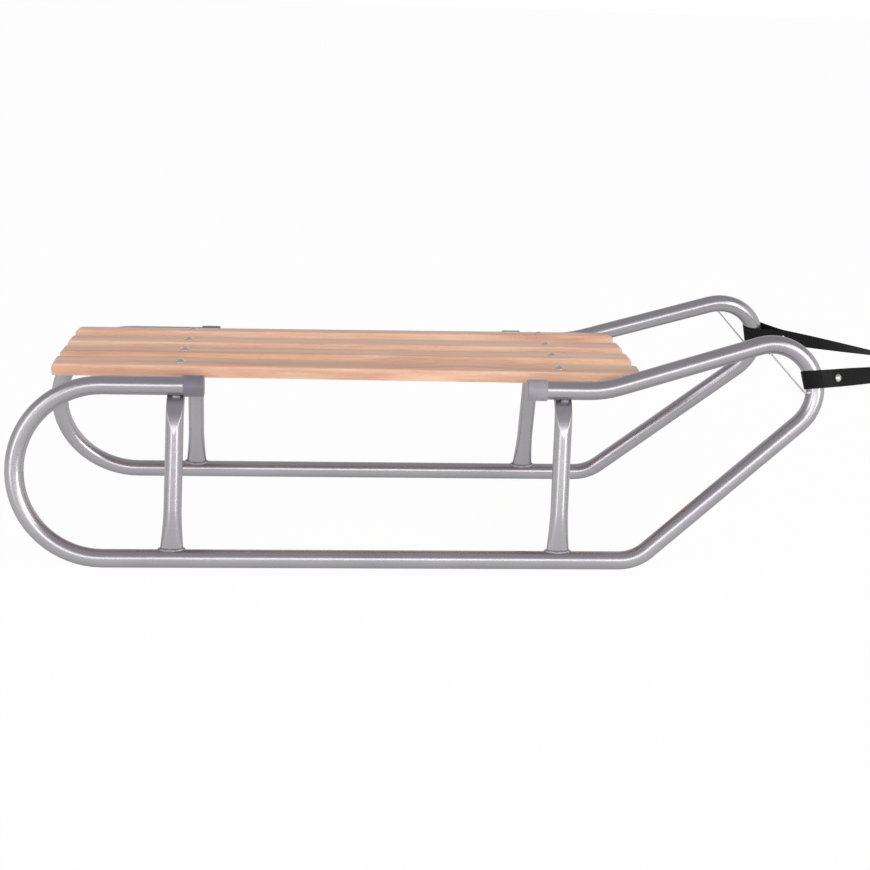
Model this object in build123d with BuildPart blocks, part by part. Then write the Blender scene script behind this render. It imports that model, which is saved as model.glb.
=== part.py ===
"""Children's sled: two bent steel tube side frames, two arches, and a slat seat.

Frame: +X forward (nose and pull strap), +Y to the left side, +Z up. The floor is
Z = 0 under the runners, and X = 0, Y = 0 is the middle of the frame.
"""

import os
from math import asin, cos, degrees, pi, radians, sin, tan

from build123d import *

os.makedirs("parts", exist_ok=True)

# ---------------------------------------------------------------- dimensions, mm
overall_length = 1105.0
tube_diameter = 25.0
weld_gap = 0.1

# side frame, measured in its own leaning plane above the runner's centreline
runner_track = 402.0
frame_lean = 11.1
rail_height = 232.1
rise_angle = 40.6
rise_radius = 60.0
nose_radius = 61.6
nose_above_rail = 5.2
handle_angle = 16.8
handle_radius = 148.0
rear_rail_end = -293.2
front_rail_end = 145.5
rear_bend_flat = 0.5

# plastic end caps on the open tube ends
cap_wall = 2.0
cap_end_wall = 3.0
cap_length = 27.0
cap_clearance = 0.1
cap_rounding = 2.0

# arches: leg, crossbar and leg bent from one tube
arch_diameter = 24.0
arch_bend_radius = 40.0
rear_foot_x = -333.0
front_foot_x = 189.0
arch_rake = 1.25
seat_slope = 5.2
crown_inset = 6.5
crown_radius = 140.0
pressed_face_start = 165.0
foot_length = 52.0
foot_width = 32.0
foot_thickness = 10.0
foot_overlap = 2.5
foot_middle_share = 0.55
foot_middle_widening = 1.14
foot_middle_thinning = 0.8

# seat slats
slat_width = 37.0
slat_thickness = 16.0
slat_length = 802.0
slat_rear_end = -497.0
slat_edge_radius = 3.0
slat_end_radius = 6.5
slat_seat_gap = 0.1
seat_above_rail = 20.7
slat_rail_gap = 23.6
inner_slat_share = 0.317
slat_fan_out = 8.4

# strap keeper wires across the nose
wire_diameter = 2.2
wire_upper_angle = 94.0
wire_lower_angle = -8.5
wire_hole_depth = 2.0
wire_hole_clearance = 0.1

# pull strap
strap_width = 25.0
strap_thickness = 1.5
strap_clearance = 0.25
strap_nose_angle = 13.5
strap_rivet_reach = 45.5
strap_join_x = 809.5
strap_join_z = 241.6
hand_loop_length = 110.0
hand_loop_radius = 14.0
strap_stitch_length = 30.0
stitch_thickness = 3.4
strap_ply_join = 4.5
opening_point_radius = 0.2
strap_sections = 7

# ---------------------------------------------------------------- derived values
tube_radius = tube_diameter / 2
arch_radius = arch_diameter / 2
lean = radians(frame_lean)
rake = radians(arch_rake)
slope = radians(seat_slope)
rise = radians(rise_angle)
handle = radians(handle_angle)

nose_height = rail_height + nose_above_rail
rail_y = runner_track / 2 - rail_height * sin(lean)
rail_z = tube_radius + rail_height * cos(lean)
rear_bend_x = -overall_length / 2 + tube_radius + rail_height / 2
nose_x = overall_length / 2 - tube_radius - nose_radius

side_plane = Plane(
    origin=(0, -runner_track / 2, tube_radius),
    x_dir=(1, 0, 0),
    z_dir=(0, -cos(lean), sin(lean)),
)


def nose_point(radius, angle):
    """A point in the side plane, at a radius and angle in degrees about the nose's centre."""
    return (nose_x + radius * cos(radians(angle)), nose_height + radius * sin(radians(angle)))


def mirrored(piece, label):
    """The other side's copy of a piece."""
    copy = mirror(piece, about=Plane.XZ)
    copy.label = label
    return copy


def save(piece):
    export_step(piece, f"parts/{piece.label}.step")


# ---------------------------------------------------------------- side frames
rear_corner_x = rear_bend_x - rail_height / 2
rear_bend_radius = (rail_height - rear_bend_flat) / 2
rise_x = nose_x + (nose_radius - nose_height * cos(rise)) / sin(rise)
handle_x = nose_x + ((rail_height - nose_height) * cos(handle) - nose_radius) / sin(handle)
nose_turn = 180 - rise_angle + handle_angle
nose_corner = nose_point(nose_radius / cos(radians(nose_turn / 2)), (rise_angle + handle_angle) / 2)

frame_points = [
    (rear_rail_end, rail_height),
    (rear_corner_x, rail_height),
    (rear_corner_x, 0),
    (rise_x, 0),
    nose_corner,
    (handle_x, rail_height),
    (front_rail_end, rail_height),
]
frame_radii = [rear_bend_radius, rear_bend_radius, rise_radius, nose_radius, handle_radius]

wire_seat_radius = nose_radius - tube_radius + wire_hole_depth
wire_top = side_plane.from_local_coords(nose_point(wire_seat_radius, wire_upper_angle))
wire_bottom = side_plane.from_local_coords(nose_point(wire_seat_radius, wire_lower_angle))
wire_line = Line(wire_top, wire_bottom)

with BuildPart() as side_frame:
    with BuildLine(side_plane) as frame_line:
        FilletPolyline(*frame_points, radius=frame_radii)
    with BuildSketch(Plane(origin=frame_line.line @ 0, z_dir=frame_line.line % 0)):
        Circle(tube_radius)
    sweep(path=frame_line.line)
    with BuildSketch(Plane(origin=wire_line @ 0, z_dir=wire_line % 0)):
        Circle(wire_diameter / 2 + wire_hole_clearance)
    extrude(amount=wire_line.length, mode=Mode.SUBTRACT)

side_frame_right = side_frame.part
side_frame_right.label = "side_frame_right"
save(side_frame_right)
save(mirrored(side_frame_right, "side_frame_left"))

# ---------------------------------------------------------------- keeper wires
with BuildPart() as wire:
    with BuildSketch(Plane(origin=wire_line @ 0, z_dir=wire_line % 0)):
        Circle(wire_diameter / 2)
    extrude(amount=wire_line.length)

keeper_wire_right = wire.part
keeper_wire_right.label = "keeper_wire_right"
save(keeper_wire_right)
save(mirrored(keeper_wire_right, "keeper_wire_left"))


# ---------------------------------------------------------------- end caps
def end_cap(tube_end, direction, label):
    """A cap over a tube end; direction is +1 where the tube ends facing forward."""
    mouth = side_plane.from_local_coords((tube_end + direction * cap_end_wall, rail_height))
    cap_radius = tube_radius + cap_wall
    with BuildPart() as cap:
        with BuildSketch(Plane(origin=mouth, z_dir=(-direction, 0, 0))):
            Circle(cap_radius)
        extrude(amount=cap_length)
        fillet(cap.faces().sort_by(Axis.X)[-1 if direction > 0 else 0].edges(), cap_rounding)
        with BuildSketch(Plane(origin=mouth, z_dir=(-direction, 0, 0)).offset(cap_end_wall)):
            Circle(tube_radius + cap_clearance)
        extrude(amount=cap_length, mode=Mode.SUBTRACT)
    cap.part.label = label
    return cap.part


for name, tube_end, direction in [("rear", rear_rail_end, 1), ("front", front_rail_end, -1)]:
    right_cap = end_cap(tube_end, direction, f"end_cap_{name}_right")
    save(right_cap)
    save(mirrored(right_cap, f"end_cap_{name}_left"))

# ---------------------------------------------------------------- arches
seat_height = rail_z + seat_above_rail
outer_slat_y = rail_y - tube_radius - slat_rail_gap - slat_width / 2
inner_slat_y = outer_slat_y * inner_slat_share
crown_half_width = outer_slat_y - crown_inset

# heights above the runner's centreline, in the arch's own raked plane
crossbar_height_at_slat = (
    seat_height - tube_radius
    - (slat_thickness + slat_seat_gap + arch_radius) / cos(slope)
)
crown_height = crossbar_height_at_slat + (outer_slat_y - crown_half_width) * tan(slope)
corner_height = (crown_height - (runner_track / 2 - crown_half_width) * tan(slope)) / (
    1 - tan(lean) * tan(slope)
)
corner_y = runner_track / 2 - corner_height * tan(lean)

foot_top = tube_radius + foot_length
foot_bottom = tube_radius - foot_overlap

# the pressed face is an arc that leaves the leg's outer line and touches the rail
pressed_face_radius = (
    (rail_height - pressed_face_start) ** 2 + arch_radius**2 - (tube_radius + weld_gap) ** 2
) / (2 * (arch_radius + tube_radius + weld_gap))
pressed_face_reach = 4 * arch_diameter


def leg_point(distance, side):
    """A point on a leg's line in the arch plane; distance is along the leg from the runner."""
    return (side * (runner_track / 2 - distance * sin(lean)), distance * cos(lean))


def arch(foot_x, label):
    """A crowned crossbar on two legs, whose flattened feet sit on the runners."""
    plane = Plane(origin=(foot_x, 0, tube_radius), x_dir=(0, 1, 0), z_dir=(cos(rake), 0, -sin(rake)))
    half_path = [leg_point(foot_top, -1), (-corner_y, corner_height), (-crown_half_width, crown_height)]
    path_points = half_path + [(-y, z) for y, z in reversed(half_path)]
    with BuildPart() as body:
        with BuildLine(plane) as path:
            FilletPolyline(
                *path_points, radius=[arch_bend_radius, crown_radius, crown_radius, arch_bend_radius]
            )
        with BuildSketch(Plane(origin=path.line @ 0, z_dir=path.line % 0)):
            Circle(arch_radius)
        sweep(path=path.line)
        for side in (-1, 1):
            top = plane.from_local_coords(leg_point(foot_top, side))
            bottom = plane.from_local_coords(leg_point(foot_bottom, side))
            down = (bottom - top).normalized()
            section = Plane(origin=top, x_dir=(1, 0, 0), z_dir=down)
            middle = (foot_top - foot_bottom) * foot_middle_share
            with BuildSketch(section):
                Ellipse(arch_radius, arch_radius)
            with BuildSketch(section.offset(middle)):
                Ellipse(arch_radius * foot_middle_widening, arch_radius * foot_middle_thinning)
            with BuildSketch(section.offset(foot_top - foot_bottom)):
                Ellipse(foot_width / 2, foot_thickness / 2)
            loft()
            # saddle in the foot, and the face pressed into the bend where the rail lies on it
            runner = (foot_x, side * runner_track / 2, tube_radius)
            with Locations(Location(runner, (0, 90, 0))):
                Cylinder(tube_radius + weld_gap, 4 * foot_width, mode=Mode.SUBTRACT)
            leg_side = Plane(
                origin=runner, x_dir=(0, -side * sin(lean), cos(lean)), z_dir=(side, 0, 0)
            )
            with BuildSketch(leg_side):
                with Locations((pressed_face_start + pressed_face_reach / 2, -0.75 * arch_diameter)):
                    Rectangle(pressed_face_reach, pressed_face_reach)
                with Locations((pressed_face_start, pressed_face_radius - arch_radius)):
                    Circle(pressed_face_radius, mode=Mode.SUBTRACT)
            extrude(amount=2 * arch_diameter, both=True, mode=Mode.SUBTRACT)
    body.part.label = label
    return body.part


save(arch(rear_foot_x, "arch_rear"))
save(arch(front_foot_x, "arch_front"))


# ---------------------------------------------------------------- seat slats
def slat(y_rear, underside, tilt, label):
    """A slat from its place on the rear crossbar, fanning outward to the front."""
    span = front_foot_x - rear_foot_x
    fan_out = slat_fan_out * y_rear / outer_slat_y
    fan = degrees(asin(fan_out / span))
    centre_x = slat_rear_end + slat_length / 2
    centre_y = y_rear + fan_out * (centre_x - rear_foot_x) / span
    place = Plane(
        Location((centre_x, centre_y, underside), (0, 0, fan)) * Location((0, 0, 0), (tilt, 0, 0))
    )
    side_view = Plane(origin=place.origin, x_dir=place.x_dir, z_dir=-place.y_dir)
    with BuildPart() as plank:
        with BuildSketch(side_view):
            outline = Rectangle(slat_length, slat_thickness, align=(Align.CENTER, Align.MIN))
            fillet(outline.vertices().group_by(Axis.Y)[-1], slat_end_radius)
        extrude(amount=slat_width / 2, both=True)
        sides = plank.faces().sort_by(Axis.Y)
        fillet(
            [edge for side in (sides[0], sides[-1]) for edge in side.edges().sort_by(Axis.Z)[1:]],
            slat_edge_radius,
        )
    plank.part.label = label
    return plank.part


crossbar_top = tube_radius + crown_height + arch_radius + slat_seat_gap
outer_underside = seat_height - slat_thickness / cos(slope)
save(slat(-outer_slat_y, outer_underside, seat_slope, "slat_outer_right"))
save(slat(-inner_slat_y, crossbar_top, 0, "slat_inner_right"))
save(slat(inner_slat_y, crossbar_top, 0, "slat_inner_left"))
save(slat(outer_slat_y, outer_underside, -seat_slope, "slat_outer_left"))

# ---------------------------------------------------------------- pull strap
# one webbing: a loop round each nose tube, two taut runs that twist flat, and a hand loop
nose_centre = side_plane.from_local_coords((nose_x, nose_height))
strap_anchor = side_plane.from_local_coords(nose_point(nose_radius, strap_nose_angle))
join = Vector(strap_join_x, 0, strap_join_z)
outward = (strap_anchor - nose_centre).normalized()
tube_direction = side_plane.z_dir.cross(outward)
run_direction = (join - strap_anchor).normalized()
run_up = (tube_direction - run_direction * tube_direction.dot(run_direction)).normalized()
run_inward = run_up.cross(run_direction)
rivet = strap_anchor + run_direction * strap_rivet_reach
run = join - rivet

# the loop lies along the bent tube and its pull lies a little askew of it; it is straight across
# its width, so it sits midway between the bent tube's middle and edges
askew = run_up.dot(tube_direction)
bend_depth = strap_width**2 / (8 * (nose_radius - tube_radius))
loop_inner = tube_radius / askew + strap_clearance + bend_depth / 2
loop_outer = loop_inner + strap_thickness
loop_span = strap_width / askew
loop_centre = strap_anchor - outward * bend_depth / 2
loop_plane = Plane(
    origin=loop_centre - tube_direction * loop_span / 2, x_dir=run_direction, z_dir=run_up
)
rivet_reach = (rivet - loop_centre).dot(run_direction)


def strap_half(lean_in):
    """The right half: a loop and its run, whose upper edge turns inward (1) or outward (-1)."""
    with BuildPart() as half:
        with BuildSketch(loop_plane):
            Circle(loop_outer)
            with Locations((rivet_reach, 0)):
                Circle(strap_thickness)
            make_hull()
            with BuildSketch(mode=Mode.PRIVATE) as inside:
                Circle(loop_inner)
                with Locations((rivet_reach - strap_ply_join, 0)):
                    Circle(opening_point_radius)
                make_hull()
            add(inside.sketch, mode=Mode.SUBTRACT)
        extrude(amount=loop_span, dir=tube_direction)
        for step in range(strap_sections):
            share = step / (strap_sections - 1)
            turn = lean_in * share * pi / 2
            width_direction = run_up * cos(turn) + run_inward * sin(turn)
            centre = rivet + run * share - run_direction * strap_thickness * (1 - share)
            with BuildSketch(Plane(origin=centre, x_dir=width_direction, z_dir=run_direction)):
                Rectangle(strap_width, strap_thickness)
        loft(ruled=True)
    return half.part


hand_direction = Vector(run.X, 0, run.Z).normalized()
hand_plane = Plane(origin=join, x_dir=hand_direction, z_dir=(0, 1, 0)).offset(-strap_width / 2)
hand_loop_tip = hand_loop_length - hand_loop_radius

with BuildPart() as pull_strap:
    add(strap_half(-1))
    add(mirror(strap_half(1), about=Plane.XZ))
    with BuildSketch(hand_plane):
        with Locations((hand_loop_tip, 0)):
            Circle(hand_loop_radius)
        Rectangle(strap_stitch_length, stitch_thickness)
        make_hull()
        with BuildSketch(mode=Mode.PRIVATE) as opening:
            with Locations((strap_stitch_length, 0)):
                Circle(opening_point_radius)
            with Locations((hand_loop_tip, 0)):
                Circle(hand_loop_radius - strap_thickness)
            make_hull()
        add(opening.sketch, mode=Mode.SUBTRACT)
        Rectangle(2 * strap_stitch_length, stitch_thickness)
    extrude(amount=strap_width)

pull_strap.part.label = "pull_strap"
save(pull_strap.part)
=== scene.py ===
"""Looks of the tubular steel sled: lacquered tube, beech slats, plastic caps and a webbing strap.

Metres, in the CAD frame: +X forward, +Y to the left side, +Z up, floor at Z = 0.
"""

from math import cos, pi, radians, sin, sqrt

import bmesh
import bpy
from mathutils import Matrix, Vector, noise
from mathutils.bvhtree import BVHTree


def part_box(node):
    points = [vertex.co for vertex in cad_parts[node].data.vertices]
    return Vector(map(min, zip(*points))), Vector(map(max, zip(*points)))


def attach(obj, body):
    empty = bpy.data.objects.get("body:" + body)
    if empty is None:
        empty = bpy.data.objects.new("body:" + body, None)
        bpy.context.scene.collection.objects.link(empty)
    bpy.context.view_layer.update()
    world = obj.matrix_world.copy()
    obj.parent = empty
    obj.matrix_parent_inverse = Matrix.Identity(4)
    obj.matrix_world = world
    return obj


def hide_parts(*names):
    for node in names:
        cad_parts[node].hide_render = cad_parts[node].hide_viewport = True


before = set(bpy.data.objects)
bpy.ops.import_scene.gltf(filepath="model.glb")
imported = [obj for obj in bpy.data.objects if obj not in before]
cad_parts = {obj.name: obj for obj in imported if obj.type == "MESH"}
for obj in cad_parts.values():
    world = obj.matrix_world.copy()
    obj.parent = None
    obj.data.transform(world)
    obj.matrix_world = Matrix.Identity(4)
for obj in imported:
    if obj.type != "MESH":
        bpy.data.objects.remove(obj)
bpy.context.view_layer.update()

# ---------------------------------------------------------------- sizes shared with the CAD, metres
TUBE_RADIUS = 0.0125
ARCH_RADIUS = 0.012
LEAN = radians(11.1)
# how far below level, on its inner side, a rail touches the arch's pressed face
RAIL_CONTACT = LEAN + radians(40.3)
ARCH_FOOT_X = {"rear": -0.333, "front": 0.189}
RUNNER_Y = 0.201
STRAP_WIDTH = 0.025
STRAP_THICKNESS = 0.0015
# the strap loop round the right nose, the tube inside it, its rivet, and where the two runs meet
NOSE_LOOP_CENTRE = Vector((0.53752, -0.15258, 0.25929))
NOSE_TUBE_DIRECTION = Vector((-0.23345, 0.18720, 0.95418))
STRAP_RIVET = Vector((0.57789, -0.13028, 0.25686))
STRAP_JOIN = Vector((0.8095, 0.0, 0.2416))

SLATS = ("outer_right", "inner_right", "inner_left", "outer_left")


# ---------------------------------------------------------------- small builders
def link_piece(mesh, name, material):
    """A finished mesh becomes a smooth piece that rides on the sled."""
    piece = bpy.data.objects.new(name, mesh)
    bpy.context.scene.collection.objects.link(piece)
    if not mesh.materials:
        mesh.materials.append(material)
    for polygon in mesh.polygons:
        polygon.use_smooth = True
    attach(piece, "root")
    return piece


def finished_mesh(build, name):
    """The mesh that a bmesh holds, under a name."""
    mesh = bpy.data.meshes.new(name)
    build.to_mesh(mesh)
    build.free()
    return mesh


def circle(radius, count, height=0.0):
    """Points evenly round local Z."""
    turns = [2 * pi * k / count for k in range(count)]
    return [Vector((radius * cos(a), radius * sin(a), height)) for a in turns]


def lathe(name, profile, segments=40):
    """A closed turned mesh about local Z; the profile is (radius, height) from axis to axis."""
    build = bmesh.new()
    rings = []
    for radius, height in profile:
        points = circle(radius, segments, height) if radius else [(0, 0, height)]
        rings.append([build.verts.new(point) for point in points])
    for upper, lower in zip(rings, rings[1:]):
        for k in range(segments):
            following = (k + 1) % segments
            if len(upper) == 1:
                build.faces.new((upper[0], lower[k], lower[following]))
            elif len(lower) == 1:
                build.faces.new((upper[k], lower[0], upper[following]))
            else:
                build.faces.new((upper[k], lower[k], lower[following], upper[following]))
    return finished_mesh(build, name)


def add_skin(build, rings, closed=False):
    """Adds a skin through equal rings of points, capped at its ends unless it is closed."""
    loops = [[build.verts.new(point) for point in ring] for ring in rings]
    pairs = list(zip(loops, loops[1:]))
    if closed:
        pairs.append((loops[-1], loops[0]))
    for first, second in pairs:
        count = len(first)
        for k in range(count):
            following = (k + 1) % count
            build.faces.new((first[k], first[following], second[following], second[k]))
    if not closed:
        build.faces.new(list(reversed(loops[0])))
        build.faces.new(loops[-1])


def skinned(name, skins, closed=False):
    """One mesh of skins, each through its own rings, with every face turned outwards."""
    build = bmesh.new()
    for rings in skins:
        add_skin(build, rings, closed)
    bmesh.ops.recalc_face_normals(build, faces=build.faces)
    return finished_mesh(build, name)


def aimed(origin, axis, spin=0.0):
    """A matrix that stands local Z along an axis at an origin, turned by spin about it."""
    turn = Vector(axis).normalized().to_track_quat("Z", "X").to_matrix().to_4x4()
    return Matrix.Translation(origin) @ turn @ Matrix.Rotation(spin, 4, "Z")


def heading(points, k):
    """The direction of a line of points at its k-th point."""
    last = len(points) - 1
    return (points[min(k + 1, last)] - points[max(k - 1, 0)]).normalized()


def side_name(side):
    """Right is -1 and left is 1, as in the CAD frame's Y."""
    return "right" if side < 0 else "left"


def crossbar_x(end):
    """Where an arch's crossbar lies along the sled."""
    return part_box(f"arch_{end}")[1].x - ARCH_RADIUS


# ---------------------------------------------------------------- material nodes
def new_material(name):
    material = bpy.data.materials.new(name)
    material.use_nodes = True
    return material, material.node_tree, material.node_tree.nodes["Principled BSDF"]


def feed(tree, socket, value):
    """Gives a socket a number, a vector or the output of another node."""
    if isinstance(value, bpy.types.NodeSocket):
        tree.links.new(value, socket)
    else:
        socket.default_value = value


def feed_all(tree, made, **inputs):
    """Feeds a node's sockets by name."""
    for key, value in inputs.items():
        feed(tree, made.inputs[key.replace("_", " ")], value)


def node(tree, kind, settings=None, **inputs):
    """A shader node with its settings and its fed sockets."""
    made = tree.nodes.new(kind)
    for key, value in (settings or {}).items():
        setattr(made, key, value)
    feed_all(tree, made, **inputs)
    return made


def computed(tree, kind, operation, first, second):
    """A Math or Vector Math node of two values."""
    made = node(tree, kind, {"operation": operation})
    feed(tree, made.inputs[0], first)
    feed(tree, made.inputs[1], second)
    return made.outputs


def ramp(tree, factor, stops):
    """A colour ramp with the given (place, colour) stops."""
    made = node(tree, "ShaderNodeValToRGB", Fac=factor)
    elements = made.color_ramp.elements
    while len(elements) < len(stops):
        elements.new(0.5)
    for element, (place, colour) in zip(elements, stops):
        element.position = place
        element.color = (*colour, 1)
    return made.outputs["Color"]


def scaled_place(tree, scale=(1, 1, 1), offset=(0, 0, 0)):
    """Places on the object, stretched by a scale, for grain that runs one way."""
    place = node(tree, "ShaderNodeTexCoord").outputs["Object"]
    made = node(tree, "ShaderNodeMapping", Vector=place, Scale=scale, Location=offset)
    return made.outputs["Vector"]


def noise_value(tree, place, scale=1.0, detail=2.0, roughness=0.5):
    made = node(
        tree, "ShaderNodeTexNoise", Vector=place, Scale=scale, Detail=detail, Roughness=roughness
    )
    return made.outputs["Fac"]


def between(tree, value, low, high, start=0.3, end=0.7):
    """A value from start to end spread from low to high; the usual start and end suit noise."""
    made = node(
        tree, "ShaderNodeMapRange",
        Value=value, From_Min=start, From_Max=end, To_Min=low, To_Max=high,
    )
    return made.outputs["Result"]


def mixed(tree, factor, first, second, blend="MIX"):
    """Two colours mixed by a factor."""
    made = node(tree, "ShaderNodeMix", {"data_type": "RGBA", "blend_type": blend})
    # a Mix node names its sockets alike for every type of data, so the colour ones go by number
    factor_socket, first_colour, second_colour = made.inputs[0], made.inputs[6], made.inputs[7]
    feed(tree, factor_socket, factor)
    feed(tree, first_colour, first)
    feed(tree, second_colour, second)
    return made.outputs[2]


def multiplied(tree, first, second, factor=1.0):
    """A colour darkened or lightened by another."""
    return mixed(tree, factor, first, second, "MULTIPLY")


def bump(tree, height, strength, distance):
    made = node(tree, "ShaderNodeBump", Height=height, Strength=strength, Distance=distance)
    return made.outputs["Normal"]


def surface_direction(tree, axis):
    """How far the surface faces along X, Y or Z, from -1 to 1."""
    normal = node(tree, "ShaderNodeNewGeometry").outputs["Normal"]
    return node(tree, "ShaderNodeSeparateXYZ", Vector=normal).outputs[axis]


def silver_lacquer():
    """Silver-grey metallic lacquer, painted darker towards its underside as painted shade: fine
    flake, soft orange peel, faint marks.
    """
    material, tree, shader = new_material("silver_lacquer")
    place = scaled_place(tree)
    cloud = noise_value(tree, place, scale=9.0, detail=3.0)
    tone = ramp(tree, cloud, [(0.3, (0.395, 0.376, 0.40)), (0.7, (0.435, 0.422, 0.44))])
    # painted shade: the lacquer's tone is darkened on faces that turn downwards, where the tube
    # would reflect the shadowed floor
    upward = surface_direction(tree, "Z")
    painted_underside_shade = multiplied(tree, tone, between(tree, upward, low=0.62, high=1.0, start=-0.95, end=0.1))
    flake = noise_value(tree, place, scale=2600.0, detail=1.0)
    sparkle = ramp(tree, flake, [(0.35, (0.93, 0.93, 0.93)), (0.65, (1.06, 1.06, 1.07))])
    marks = noise_value(tree, scaled_place(tree, (6, 90, 90)), detail=4.0, roughness=0.6)
    peel = noise_value(tree, place, scale=330.0)
    rounded = node(tree, "ShaderNodeBevel", {"samples": 8}, Radius=0.0015).outputs["Normal"]
    orange_peel = node(
        tree, "ShaderNodeBump", Height=peel, Strength=0.03, Distance=0.0003, Normal=rounded
    )
    feed_all(
        tree, shader,
        Base_Color=multiplied(tree, painted_underside_shade, sparkle),
        Roughness=between(tree, marks, low=0.22, high=0.29),
        Normal=orange_peel.outputs["Normal"],
        Metallic=0.96,
        Specular_Tint=(0.72, 0.71, 0.73, 1),
    )
    return material


def weld_lacquer():
    """The same lacquer over a rough weld bead."""
    material, tree, shader = new_material("weld_lacquer")
    spots = noise_value(tree, scaled_place(tree), scale=700.0)
    feed_all(
        tree, shader,
        Base_Color=ramp(tree, spots, [(0.35, (0.17, 0.165, 0.175)), (0.62, (0.42, 0.41, 0.43))]),
        Roughness=between(tree, spots, low=0.38, high=0.6),
        Normal=bump(tree, spots, strength=0.3, distance=0.0006),
        Metallic=0.7,
    )
    return material


def growth_bands(tree, offset):
    """Long bands of beech along X that sway a little to the side."""
    sway = noise_value(tree, scaled_place(tree, (3.0, 9, 9), offset))
    sideways = node(tree, "ShaderNodeCombineXYZ", Y=sway, Z=sway).outputs["Vector"]
    shift = node(tree, "ShaderNodeVectorMath", {"operation": "SCALE"}, Vector=sideways, Scale=4.0)
    straight = scaled_place(tree, (1.6, 75, 75), offset)
    bent = computed(tree, "ShaderNodeVectorMath", "ADD", straight, shift.outputs["Vector"])
    return noise_value(tree, bent["Vector"], detail=3.0, roughness=0.55)


def beech_face(tree, fibres, offset):
    """The colour along the grain: growth bands, warm patches, fibres and ray flecks."""
    tone = ramp(
        tree, growth_bands(tree, offset),
        [(0.32, (0.64, 0.37, 0.262)), (0.5, (0.765, 0.48, 0.35)), (0.68, (0.825, 0.55, 0.41))],
    )
    patches = noise_value(tree, scaled_place(tree, (7, 26, 26), offset))
    warmth = ramp(tree, patches, [(0.35, (1.0, 0.93, 0.90)), (0.65, (1.0, 1.03, 1.0))])
    streak = ramp(tree, fibres, [(0.35, (0.86, 0.82, 0.80)), (0.6, (1.03, 1.03, 1.03))])
    streaked = multiplied(tree, multiplied(tree, tone, warmth), streak, factor=0.75)
    flecks = noise_value(tree, scaled_place(tree, (260, 2100, 2100), offset), detail=0.0)
    fleck_share = between(tree, flecks, low=0.0, high=0.32, start=0.66, end=0.78)
    return mixed(tree, fleck_share, streaked, (0.44, 0.24, 0.16, 1))


def beech(name, offset):
    """Clear lacquered steamed beech, its grain along X, with darker pores on its end grain."""
    material, tree, shader = new_material(name)
    fibres = noise_value(
        tree, scaled_place(tree, (22, 1100, 1100), offset), detail=3.0, roughness=0.6
    )
    pores = noise_value(tree, scaled_place(tree, (900, 900, 900), offset))
    end_grain = ramp(tree, pores, [(0.35, (0.42, 0.25, 0.16)), (0.6, (0.68, 0.46, 0.32))])
    endways = node(
        tree, "ShaderNodeMath", {"operation": "ABSOLUTE"}, Value=surface_direction(tree, "X")
    ).outputs["Value"]
    end_share = between(tree, endways, low=0.0, high=0.7, start=0.75, end=0.95)
    feed_all(
        tree, shader,
        Base_Color=mixed(tree, end_share, beech_face(tree, fibres, offset), end_grain),
        Roughness=between(tree, fibres, low=0.36, high=0.5),
        Normal=bump(tree, fibres, strength=0.12, distance=0.0003),
        Specular_IOR_Level=0.32,
        Coat_Weight=0.05,
        Coat_Roughness=0.3,
    )
    return material


def grey_plastic(name, tone):
    """Moulded grey plastic with a fine satin texture."""
    material, tree, shader = new_material(name)
    place = scaled_place(tree)
    cloud = noise_value(tree, place, scale=60.0, detail=3.0)
    grit = noise_value(tree, place, scale=1500.0)
    light = tuple(1.15 * channel for channel in tone)
    feed_all(
        tree, shader,
        Base_Color=ramp(tree, cloud, [(0.35, tone), (0.65, light)]),
        Roughness=between(tree, cloud, low=0.38, high=0.48),
        Normal=bump(tree, grit, strength=0.08, distance=0.0003),
    )
    return material


def bright_steel(name, tone, roughness, grain):
    """Bright steel, faintly mottled; a higher grain is a finer one."""
    material, tree, shader = new_material(name)
    mottle = noise_value(tree, scaled_place(tree, (grain, grain, grain)), detail=3.0)
    dark = tuple(0.86 * channel for channel in tone)
    smooth, dull = 0.8 * roughness, 1.25 * roughness
    feed_all(
        tree, shader,
        Base_Color=ramp(tree, mottle, [(0.35, dark), (0.65, tone)]),
        Roughness=between(tree, mottle, low=smooth, high=dull),
        Normal=bump(tree, mottle, strength=0.1, distance=0.0002),
        Metallic=1.0,
    )
    return material


def black_webbing():
    """Woven black webbing: cross ribs and lengthwise warp on the strap's own length and width."""
    material, tree, shader = new_material("black_webbing")
    strip = node(tree, "ShaderNodeUVMap", {"uv_map": "strip"}).outputs["UV"]
    ribs = node(
        tree, "ShaderNodeTexWave", {"bands_direction": "X"},
        Vector=strip, Scale=105.0, Distortion=0.6, Detail=1.0,
    ).outputs["Fac"]
    warp = node(
        tree, "ShaderNodeTexWave", {"bands_direction": "Y"}, Vector=strip, Scale=420.0
    ).outputs["Fac"]
    weave = computed(tree, "ShaderNodeMath", "MULTIPLY", ribs, warp)["Value"]
    yarn = ramp(tree, weave, [(0.0, (0.004, 0.0036, 0.004)), (0.8, (0.012, 0.0105, 0.0115))])
    fuzz = noise_value(tree, scaled_place(tree), scale=1400.0)
    lint = ramp(tree, fuzz, [(0.4, (0.9, 0.9, 0.9)), (0.75, (1.5, 1.45, 1.45))])
    feed_all(
        tree, shader,
        Base_Color=multiplied(tree, yarn, lint),
        Roughness=between(tree, fuzz, low=0.6, high=0.8),
        Normal=bump(tree, weave, strength=0.5, distance=0.0004),
        Specular_IOR_Level=0.15,
        Sheen_Weight=0.02,
        Sheen_Roughness=0.4,
    )
    return material


def black_thread():
    """Waxed sewing thread, faintly mottled."""
    material, tree, shader = new_material("black_thread")
    mottle = noise_value(tree, scaled_place(tree), scale=2200.0, detail=1.0)
    feed_all(
        tree, shader,
        Base_Color=ramp(tree, mottle, [(0.35, (0.03, 0.028, 0.03)), (0.65, (0.09, 0.085, 0.09))]),
        Roughness=between(tree, mottle, low=0.4, high=0.6),
        Normal=bump(tree, mottle, strength=0.3, distance=0.0002),
    )
    return material


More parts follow.
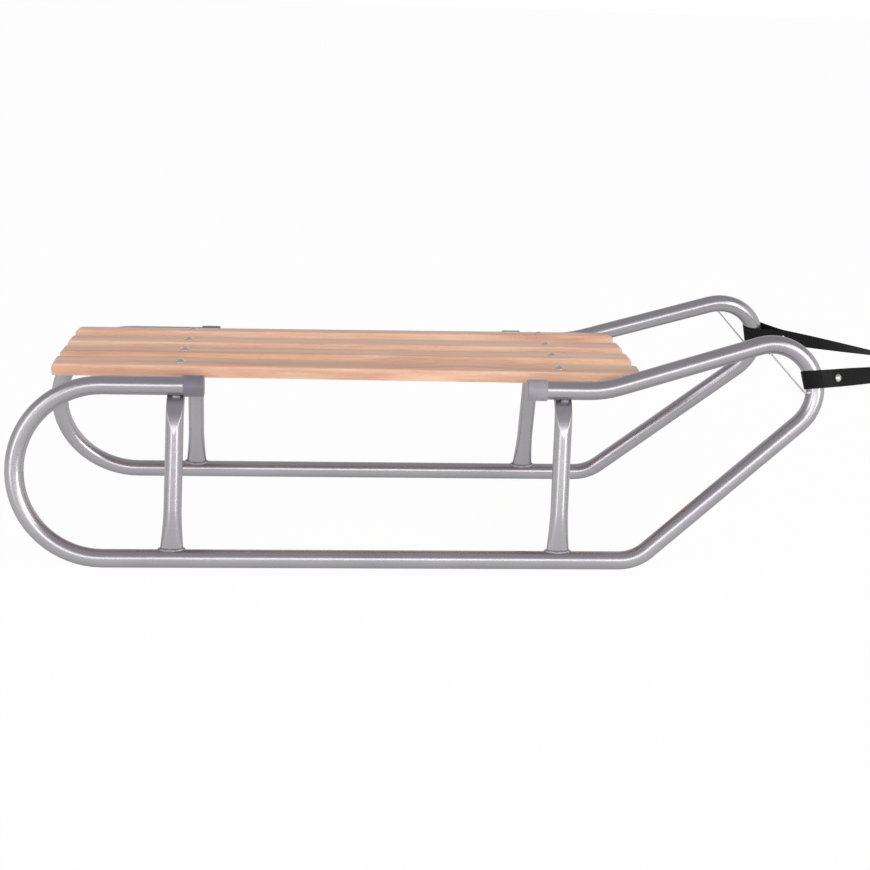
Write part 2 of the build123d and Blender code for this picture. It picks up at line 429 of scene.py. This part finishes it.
# ---------------------------------------------------------------- strap
# one woven edge to the other on a cross-section's upper face, in halves of its width and thickness
UPPER_FACE = [
    (-1.0, 0.0), (-0.985, 0.75), (-0.93, 1.0), (-0.86, 0.8), (-0.4, 0.8), (0.0, 0.8),
    (0.4, 0.8), (0.86, 0.8), (0.93, 1.0), (0.985, 0.75),
]


def spline_points(points, resolution=10):
    """Points read from the smooth route that the given control points make."""
    curve = bpy.data.curves.new("route", "CURVE")
    curve.dimensions = "3D"
    curve.resolution_u = resolution
    spline = curve.splines.new("NURBS")
    spline.points.add(len(points) - 1)
    for control, point in zip(spline.points, points):
        control.co = (*point, 1)
    spline.order_u = 3
    spline.use_endpoint_u = True
    holder = bpy.data.objects.new("route", curve)
    mesh = bpy.data.meshes.new_from_object(holder)
    read = [v.co.copy() for v in mesh.vertices]
    bpy.data.objects.remove(holder)
    bpy.data.curves.remove(curve)
    bpy.data.meshes.remove(mesh)
    return read


def mirrored(point):
    return Vector((point.x, -point.y, point.z))


def pull_axes():
    """The right run's directions: along its pull, up across its width, and inward."""
    along = (STRAP_JOIN - STRAP_RIVET).normalized()
    up = (NOSE_TUBE_DIRECTION - along * NOSE_TUBE_DIRECTION.dot(along)).normalized()
    return along, up, up.cross(along)


def hand_axes():
    """The hand loop's directions: along it, and up across its plies."""
    run = STRAP_JOIN - STRAP_RIVET
    along = Vector((run.x, 0, run.z)).normalized()
    return along, Vector((-along.z, 0, along.x))


def strap_half_route(lean_in):
    """Control points and width directions from the free end round the nose tube to the join.

    The run's upper edge turns inward (1) or outward (-1) on its way to the join.
    """
    along, up, inward = pull_axes()
    ply = 0.00085
    turn_radius = 0.01565
    turn_degrees = (95, 138, 180, 222, 265)
    tube_side = (0.010, 0.01207)
    run_shares = (0.05, 0.45, 0.8, 0.94)
    free_end = [(0.058, ply), (0.042, ply), tube_side]
    turn = [(turn_radius * cos(radians(a)), turn_radius * sin(radians(a))) for a in turn_degrees]
    pulled = [(tube_side[0], -tube_side[1]), (0.042, -ply)]
    loop = free_end + turn + pulled
    points = [NOSE_LOOP_CENTRE + along * reach + inward * offset for reach, offset in loop]
    widths = [NOSE_TUBE_DIRECTION] * (len(loop) - 1) + [up]
    for share in run_shares:
        twist = lean_in * share * pi / 2
        points.append(STRAP_RIVET + (STRAP_JOIN - STRAP_RIVET) * share)
        widths.append(up * cos(twist) + inward * sin(twist))
    return points, widths


def hand_loop_route():
    """Control points of the hand loop, from the lower ply round its end to the upper ply."""
    along, up = hand_axes()
    ply = 0.0009
    lower = [(0.010, -ply), (0.032, -ply), (0.062, -0.0078), (0.097, -0.0145), (0.1092, -0.0072)]
    outline = lower + [(reach, -height) for reach, height in reversed(lower)]
    return [STRAP_JOIN + along * reach + up * height for reach, height in outline]


def strap_routes():
    """The whole strap's control points and width directions, from nose to nose."""
    near_points, near_widths = strap_half_route(-1)
    far_points, far_widths = strap_half_route(1)
    hand = hand_loop_route()
    across_hand = [Vector((0, -1, 0))] * len(hand)
    points = near_points + hand + [mirrored(p) for p in reversed(far_points)]
    widths = near_widths + across_hand + [mirrored(w) for w in reversed(far_widths)]
    return points, widths


def band_ring(centre, along, width):
    """One cross-section of the webbing, with slightly thicker woven edges."""
    skew = width.dot(along)
    across = width / sqrt(1 - skew * skew) * (STRAP_WIDTH / 2)
    face = along.cross(width).normalized() * (STRAP_THICKNESS / 2)
    outline = UPPER_FACE + [(-a, -b) for a, b in UPPER_FACE]
    return [centre + across * a + face * b for a, b in outline]


def band(name, points, widths, start_length):
    """A length of webbing along the given points, with its own strip coordinates."""
    rings = []
    lengths = []
    length = start_length
    for k, (point, width) in enumerate(zip(points, widths)):
        rings.append(band_ring(point, heading(points, k), width))
        if k:
            length += (point - points[k - 1]).length
        lengths.append(length)
    mesh = skinned(name, [rings])
    strip = mesh.uv_layers.new(name="strip")
    count = len(rings[0])
    half_count = count // 2
    for corner in mesh.loops:
        ring, place = divmod(corner.vertex_index, count)
        step = place if place <= half_count else count - place
        strip.data[corner.index].uv = (lengths[ring], STRAP_WIDTH * step / half_count)
    return mesh, length


def build_strap():
    """One webbing in three meshes: a turn round each nose tube, and the pull between them."""
    points, widths = strap_routes()
    route = spline_points(points)
    tips = spline_points([p + w * STRAP_WIDTH for p, w in zip(points, widths)])
    directions = [(tip - centre).normalized() for tip, centre in zip(tips, route)]
    wrap_spans = 7
    spans = len(points) - 2
    last = len(route) - 1
    near_cut = round(wrap_spans * len(route) / spans)
    far_cut = last - near_cut
    stretches = {
        "nose_wrap_right": (0, near_cut),
        "strap_webbing": (near_cut, far_cut),
        "nose_wrap_left": (far_cut, last),
    }
    material = black_webbing()
    pieces = []
    length = 0.0
    for name, (first, end) in stretches.items():
        mesh, length = band(name, route[first:end + 1], directions[first:end + 1], length)
        pieces.append(link_piece(mesh, name, material))
    pull = route[near_cut:far_cut + 1]
    pull_length = sum((b - a).length for a, b in zip(pull, pull[1:]))
    return pieces, pull, pull_length


def build_strap_rivets():
    """A domed rivet through both plies of each nose wrap."""
    profile = [
        (0, 0.0041), (0.0016, 0.0039), (0.0033, 0.0032), (0.0046, 0.0021), (0.0053, 0.0010),
        (0.0056, 0.0005), (0.0057, 0.0), (0.0056, -0.0004), (0.0017, -0.0005), (0.0017, -0.0034),
        (0.0044, -0.0034), (0.0046, -0.0038), (0.0040, -0.0044), (0.0012, -0.0047), (0, -0.0047),
    ]
    head_lift = 0.0019
    material = bright_steel("rivet_steel", (0.66, 0.62, 0.61), roughness=0.28, grain=300)
    mesh = lathe("strap_rivet", profile)
    inward = pull_axes()[2]
    place = STRAP_RIVET - inward * head_lift
    right = link_piece(mesh, "strap_rivet_right", material)
    right.matrix_world = aimed(place, -inward)
    left = link_piece(mesh, "strap_rivet_left", material)
    left.matrix_world = aimed(mirrored(place), mirrored(-inward))
    return [right, left]


def stitch_rings(first, second, layer):
    """One stitch between two places on the plies, arched over their upper (1) or lower (-1) face."""
    along, up = hand_axes()
    side = Vector((0, 1, 0))
    face_height = 0.00165
    radius = 0.00032
    arch = ((0, -0.6), (0.15, 0.5), (0.5, 1.0), (0.85, 0.5), (1, -0.6))
    step = second - first
    sideways = (side * step.x - along * step.y).normalized()
    rings = []
    for share, rise in arch:
        flat = first.lerp(second, share)
        middle = STRAP_JOIN + along * flat.x + side * flat.y
        middle += up * layer * (face_height + rise * radius)
        rings.append([middle + sideways * p.x + up * p.y for p in circle(radius, 6)])
    return rings


def build_strap_stitching():
    """Two sewn boxes with crossed diagonals where the plies lie together behind the hand loop."""
    stitch, gap = 0.0028, 0.0007
    back, front, half_width = -0.004, 0.026, 0.0095
    corners = [
        Vector((back, -half_width, 0)), Vector((front, -half_width, 0)),
        Vector((front, half_width, 0)), Vector((back, half_width, 0)),
    ]
    edges = list(zip(corners, corners[1:] + corners[:1]))
    diagonals = [(corners[0], corners[2]), (corners[1], corners[3])]
    skins = []
    for layer in (1, -1):
        for start, end in edges + diagonals:
            count = int((end - start).length / (stitch + gap))
            step = (end - start) / count
            for k in range(count):
                first = start + step * k
                second = first + step * (stitch / (stitch + gap))
                skins.append(stitch_rings(first, second, layer))
    mesh = skinned("strap_stitching", skins)
    return link_piece(mesh, "strap_stitching", black_thread())


# ---------------------------------------------------------------- screws
def cross_cutter():
    """The shape of a cross recess: two bars that taper downwards and meet."""
    corners = ((-1, -1), (1, -1), (1, 1), (-1, 1))
    # half length, half width and height of a bar's open end and of its floor
    ends = ((0.0036, 0.0010, 0.0030), (0.0019, 0.0007, 0.0003))
    skins = []
    for turn in (0, pi / 2):
        spin = Matrix.Rotation(turn, 3, "Z")
        skins.append([
            [spin @ Vector((x * half_length, y * half_width, height)) for x, y in corners]
            for half_length, half_width, height in ends
        ])
    return skinned("cross_cutter", skins)


def screw_mesh():
    """A pan head with a cross recess, sunk a little into the wood."""
    profile = [
        (0, 0.0026), (0.0017, 0.00252), (0.0034, 0.0022), (0.0048, 0.0017), (0.0058, 0.0010),
        (0.0064, 0.0004), (0.0065, 0.0), (0.0064, -0.0006), (0, -0.0006),
    ]
    head = bpy.data.objects.new("screw_head", lathe("screw_head", profile, segments=48))
    cutter = bpy.data.objects.new("cross_cutter", cross_cutter())
    for made in (head, cutter):
        bpy.context.scene.collection.objects.link(made)
    cut = head.modifiers.new("recess", "BOOLEAN")
    cut.object = cutter
    cut.operation = "DIFFERENCE"
    cut.solver = "EXACT"
    cut.use_self = True
    bpy.context.view_layer.update()
    evaluated = head.evaluated_get(bpy.context.evaluated_depsgraph_get())
    shaped = bpy.data.meshes.new_from_object(evaluated)
    shaped.name = "seat_screw"
    for made in (head, cutter):
        bpy.data.objects.remove(made)
    return shaped


def slat_top(slat, x):
    """The place and slope on top of a slat, midway between its long edges."""
    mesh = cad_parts[slat].data
    surface = BVHTree.FromPolygons(
        [v.co.copy() for v in mesh.vertices], [list(p.vertices) for p in mesh.polygons]
    )
    low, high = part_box(slat)
    outside = 0.1
    middle_z = (low.z + high.z) / 2
    near = surface.ray_cast(Vector((x, low.y - outside, middle_z)), Vector((0, 1, 0)))[0]
    far = surface.ray_cast(Vector((x, high.y + outside, middle_z)), Vector((0, -1, 0)))[0]
    above = Vector((x, (near.y + far.y) / 2, high.z + outside))
    return surface.ray_cast(above, Vector((0, 0, -1)))[:2]


def build_screws():
    """One screw through each slat into each crossbar, each driven to its own turn."""
    ahead_of_crossbar = {"rear": 0.0018, "front": -0.0010}
    turn, turn_step = 0.35, 0.9
    mesh = screw_mesh()
    material = bright_steel("screw_zinc", (0.62, 0.59, 0.57), roughness=0.22, grain=300)
    for end, offset in ahead_of_crossbar.items():
        for slat in SLATS:
            place, slope = slat_top(f"slat_{slat}", crossbar_x(end) + offset)
            piece = link_piece(mesh, f"screw_{end}_{slat}", material)
            piece.matrix_world = aimed(place, slope, turn)
            turn += turn_step


# ---------------------------------------------------------------- welds
def bead(name, centres, radius, closed, material, seed):
    """A weld bead of overlapping ripples along the given centres; an open one thins at its ends."""
    ripple, ripple_turn = 0.07, 0.9
    swell_share, swell_scale = 0.25, 240
    lump_share, lump_scale = 0.12, 900
    tip_share, tip_steps = 0.35, 3
    last = len(centres) - 1
    rings = []
    for k, centre in enumerate(centres):
        if closed:
            along = (centres[(k + 1) % len(centres)] - centres[k - 1]).normalized()
        else:
            along = heading(centres, k)
        side = along.cross(Vector((0, 0, 1))).normalized()
        rise = side.cross(along)
        uneven = noise.noise(centre * swell_scale + Vector((seed, 0, 0)))
        swell = 1 + ripple * abs(sin(k * ripple_turn)) + swell_share * uneven
        if not closed:
            from_tip = min(1, (0.5 + min(k, last - k)) / tip_steps)
            swell *= tip_share + (1 - tip_share) * sin(from_tip * pi / 2)
        ring = []
        for flat in circle(1, 12):
            spread = (side * flat.x + rise * flat.y) * radius
            lump = 1 + lump_share * noise.noise((centre + spread) * lump_scale)
            ring.append(centre + spread * swell * lump)
        rings.append(ring)
    return link_piece(skinned(name, [rings], closed), name, material)


def build_foot_weld(arch, side, material):
    """The bead round a flattened foot where it sits on the runner."""
    half_length, half_width = 0.0160, 0.0054
    bead_radius, sink = 0.0025, 0.0002
    steps = 120
    runner = Vector((ARCH_FOOT_X[arch], side * RUNNER_Y, TUBE_RADIUS))
    leg = Vector((0, -side * sin(LEAN), cos(LEAN)))
    across = Vector((0, side * cos(LEAN), sin(LEAN)))
    centres = []
    for k in range(steps):
        angle = 2 * pi * k / steps
        forward = Vector((half_length * cos(angle), 0, 0))
        aside = half_width * sin(angle)
        reach = sqrt((TUBE_RADIUS - sink) ** 2 - aside ** 2)
        centres.append(runner + forward + across * aside + leg * reach)
    name = f"weld_foot_{arch}_{side_name(side)}"
    bead(name, centres, bead_radius, True, material, seed=side * 3)


def build_rail_welds(arch, side, material):
    """Short beads under the rail and at the two edges of the arch's pressed face."""
    # the end cap lies on the rail's own line
    cap_low, cap_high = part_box(f"end_cap_{arch}_{side_name(side)}")
    middle = (cap_low + cap_high) / 2
    rail = Vector((crossbar_x(arch), middle.y, middle.z))
    under_back, under_length, under_degrees = -0.0045, 0.011, 36
    under_lift, under_radius = 0.0021, 0.0027
    half_face, first_degrees, sweep_degrees = 0.0112, -26, 48
    edge_lift, edge_radius = 0.0004, 0.0016
    steps = 16
    shares = [k / steps for k in range(steps + 1)]

    def on_rail(x, degrees, lift):
        """A place off the rail's tube, turned outwards round it from the contact by degrees."""
        turn = RAIL_CONTACT + radians(degrees)
        outwards = Vector((0, -side * cos(turn), -sin(turn)))
        return rail + Vector((x, 0, 0)) + outwards * (TUBE_RADIUS + lift)

    under = [
        on_rail(under_back + under_length * share, under_degrees, under_lift) for share in shares
    ]
    under_name = f"weld_rail_under_{arch}_{side_name(side)}"
    bead(under_name, under, under_radius, False, material, seed=side * 5)
    for end, x in (("a", -half_face), ("b", half_face)):
        edge = [on_rail(x, first_degrees + sweep_degrees * share, edge_lift) for share in shares]
        edge_name = f"weld_rail_{end}_{arch}_{side_name(side)}"
        bead(edge_name, edge, edge_radius, False, material, seed=side * 7)


# ---------------------------------------------------------------- wire ends
def wire_line(side):
    """The top and bottom of a keeper wire's middle line, which runs down, forward and outward."""
    inset = 0.001
    low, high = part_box(f"keeper_wire_{side_name(side)}")
    outer_y, inner_y = (low.y, high.y) if side < 0 else (high.y, low.y)
    top = Vector((low.x + inset, inner_y, high.z - inset))
    bottom = Vector((high.x - inset, outer_y, low.z + inset))
    return top, bottom


def wire_tail_rings(start, end, along, lift):
    """A thin wire that leaves the keeper wire at start and bends to its eye at end."""
    overlap, radius = 0.002, 0.0009
    middle = (start + end) / 2 + lift
    route = spline_points([start - along * overlap, start, middle, end], resolution=6)
    section = circle(radius, 12)
    rings = []
    for k, centre in enumerate(route):
        turned = aimed(centre, heading(route, k))
        rings.append([turned @ point for point in section])
    return rings


def build_wire_ends(side):
    """A small nub at the wire's upper end, and a tail that ends in a bright eye at its lower end."""
    dome = [
        (0, 0.0016), (0.0012, 0.0015), (0.0021, 0.0010), (0.0025, 0.0), (0.0025, -0.0012),
        (0, -0.0012),
    ]
    nub_below_top, tail_above_bottom, tail_lift = 0.0026, 0.0042, 0.0012
    eye_from_bottom = Vector((0.0003, side * 0.0055, 0.0058))
    eye_axis = Vector((-0.885, side * 0.441, 0.146))
    label = side_name(side)
    top, bottom = wire_line(side)
    along = (bottom - top).normalized()
    nub = top + along * nub_below_top
    eye = bottom + eye_from_bottom
    material = bright_steel(f"wire_end_{label}", (0.82, 0.82, 0.83), roughness=0.25, grain=400)
    mesh = lathe("wire_end", dome, segments=28)
    for name, place, axis in (("top", nub, along), ("eye", eye, eye_axis)):
        piece = link_piece(mesh, f"wire_{name}_{label}", material)
        piece.matrix_world = aimed(place, axis)
    start = bottom - along * tail_above_bottom
    tail = skinned(f"wire_tail_{label}", [wire_tail_rings(start, eye, along, eye_axis * tail_lift)])
    link_piece(tail, f"wire_tail_{label}", material)


# ---------------------------------------------------------------- stage
def seen_by_background_rays(tree, share):
    """A share for the rays that see the background: the camera's, and those in gloss and glass."""
    path = node(tree, "ShaderNodeLightPath")
    seen = path.outputs["Is Camera Ray"]
    for ray in ("Is Glossy Ray", "Is Transmission Ray"):
        seen = computed(tree, "ShaderNodeMath", "MAXIMUM", seen, path.outputs[ray])["Value"]
    return computed(tree, "ShaderNodeMath", "MULTIPLY", seen, share)["Value"]


def split_by_ray(tree, lighting, seen, share, output):
    """One shader gives the light, and the other a share of what the background's rays see."""
    mix = node(tree, "ShaderNodeMixShader", Fac=seen_by_background_rays(tree, share))
    feed(tree, mix.inputs[1], lighting.outputs[0])
    feed(tree, mix.inputs[2], seen.outputs[0])
    node(tree, output, Surface=mix.outputs[0])


def floor_white():
    """White that glows evenly and keeps a faint shadow."""
    material = bpy.data.materials.new("floor_white")
    material.use_nodes = True
    tree = material.node_tree
    tree.nodes.clear()
    paint = node(tree, "ShaderNodeBsdfDiffuse", Color=(0.9, 0.9, 0.9, 1))
    glow = node(tree, "ShaderNodeEmission", Color=(1, 1, 1, 1), Strength=1.0)
    split_by_ray(tree, paint, glow, 0.965, "ShaderNodeOutputMaterial")
    return material


def build_floor():
    """A wide white floor under the sled."""
    half_width = 200
    build = bmesh.new()
    bmesh.ops.create_grid(build, x_segments=1, y_segments=1, size=half_width)
    mesh = finished_mesh(build, "floor")
    mesh.materials.append(floor_white())
    floor = bpy.data.objects.new("floor", mesh)
    bpy.context.scene.collection.objects.link(floor)


def build_world():
    """A white surround, grey overhead and a little grey to the rear, and a fill from the right."""
    world = bpy.data.worlds.new("studio")
    bpy.context.scene.world = world
    world.use_nodes = True
    tree = world.node_tree
    tree.nodes.clear()
    directions = node(tree, "ShaderNodeTexCoord").outputs["Generated"]

    def towards(direction):
        """How far a ray points along a direction, from -1 to 1."""
        return computed(tree, "ShaderNodeVectorMath", "DOT_PRODUCT", directions, direction)["Value"]

    upwards, rearwards, rightwards = (0, 0, 1), (-0.94, 0.342, 0), (0, -1, 0)
    ceiling = ramp(tree, towards(upwards), [(0.36, (1, 1, 1)), (0.66, (0.50, 0.49, 0.51))])
    flag = ramp(tree, towards(rearwards), [(0.62, (1, 1, 1)), (0.84, (0.74, 0.73, 0.74))])
    side = ramp(tree, towards(rightwards), [(0.0, (0.29, 0.29, 0.295)), (1.0, (1, 0.99, 0.98))])
    seen = node(tree, "ShaderNodeBackground", Color=multiplied(tree, ceiling, flag), Strength=1.0)
    fill = node(tree, "ShaderNodeBackground", Color=side, Strength=1.21)
    split_by_ray(tree, fill, seen, 1.0, "ShaderNodeOutputWorld")


def soft_box(name, azimuth, elevation, distance, size, power):
    """A soft box round the sled; azimuth 0 is on its right side, positive towards its nose."""
    a, e = radians(azimuth), radians(elevation)
    direction = Vector((sin(a) * cos(e), -cos(a) * cos(e), sin(e)))
    lamp = bpy.data.lights.new(name, "AREA")
    lamp.shape = "RECTANGLE"
    lamp.size, lamp.size_y = size
    lamp.energy = power
    box = bpy.data.objects.new(name, lamp)
    bpy.context.scene.collection.objects.link(box)
    aim = Vector((0, 0, 0.15))
    facing = direction.to_track_quat("Z", "Y").to_matrix().to_4x4()
    box.matrix_world = Matrix.Translation(aim + direction * distance) @ facing
    box.visible_camera = False


def build_lights():
    """Soft boxes off its right side: a tall one to each end, and a nearer, long and low one."""
    soft_box("box_left", azimuth=-41, elevation=17, distance=6.0, size=(1.7, 4.1), power=47)
    soft_box("box_right", azimuth=43, elevation=17, distance=6.0, size=(1.7, 4.1), power=80)
    soft_box("box_front", azimuth=9, elevation=18, distance=2.9, size=(3.3, 0.75), power=16.5)


def build_camera():
    """The photograph's viewpoint, beside the sled's right side and a little above it."""
    place = (-0.129177, -2.106678, 0.742958)
    yaw, pitch, roll = radians(4.367), radians(16.166), radians(1.810)
    data = bpy.data.cameras.new("camera")
    data.sensor_width = 36
    data.lens = 62.069
    camera = bpy.data.objects.new("camera", data)
    bpy.context.scene.collection.objects.link(camera)
    camera.matrix_world = (
        Matrix.Translation(place)
        @ Matrix.Rotation(-yaw, 4, "Z")
        @ Matrix.Rotation(pi / 2 - pitch, 4, "X")
        @ Matrix.Rotation(roll, 4, "Z")
    )
    bpy.context.scene.camera = camera
    bpy.context.scene.view_settings.view_transform = "Standard"


# ---------------------------------------------------------------- dressing the sled
def finish_node(name, material):
    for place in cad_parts[name].material_slots:
        place.material = material


def dress_nodes():
    """The CAD nodes keep their shape and take their finishes; the rear caps take a darker copy of
    the cap plastic as painted shade.
    """
    lacquer = silver_lacquer()
    wire = bright_steel("wire_steel", (0.45, 0.44, 0.45), roughness=0.45, grain=12)
    # two copies of one cap plastic: the front one lighter as painted light, the rear one darker as
    # painted shade
    plastic = {
        "front": grey_plastic("grey_plastic_front_lit", (0.29, 0.268, 0.303)),
        "rear": grey_plastic("grey_plastic_rear_shaded", (0.158, 0.148, 0.178)),
    }
    for end, cap in plastic.items():
        finish_node(f"arch_{end}", lacquer)
        for side in ("left", "right"):
            finish_node(f"end_cap_{end}_{side}", cap)
    for side in ("left", "right"):
        finish_node(f"side_frame_{side}", lacquer)
        finish_node(f"keeper_wire_{side}", wire)
    for k, slat in enumerate(SLATS):
        finish_node(f"slat_{slat}", beech(f"beech_{slat}", (3.7 * k, 11.3 * k, 5.9 * k)))


build_camera()
build_world()
build_floor()
build_lights()
dress_nodes()

(wrap_right, webbing, wrap_left), strap_path, strap_length = build_strap()
rivets = build_strap_rivets()
stitching = build_strap_stitching()
for part in (wrap_right, webbing, wrap_left):
    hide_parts("pull_strap")

build_screws()
weld = weld_lacquer()
for arch_name in ("rear", "front"):
    for arch_side in (-1, 1):
        build_foot_weld(arch_name, arch_side, weld)
        build_rail_welds(arch_name, arch_side, weld)
for wire_side in (-1, 1):
    build_wire_ends(wire_side)

bpy.context.view_layer.update()
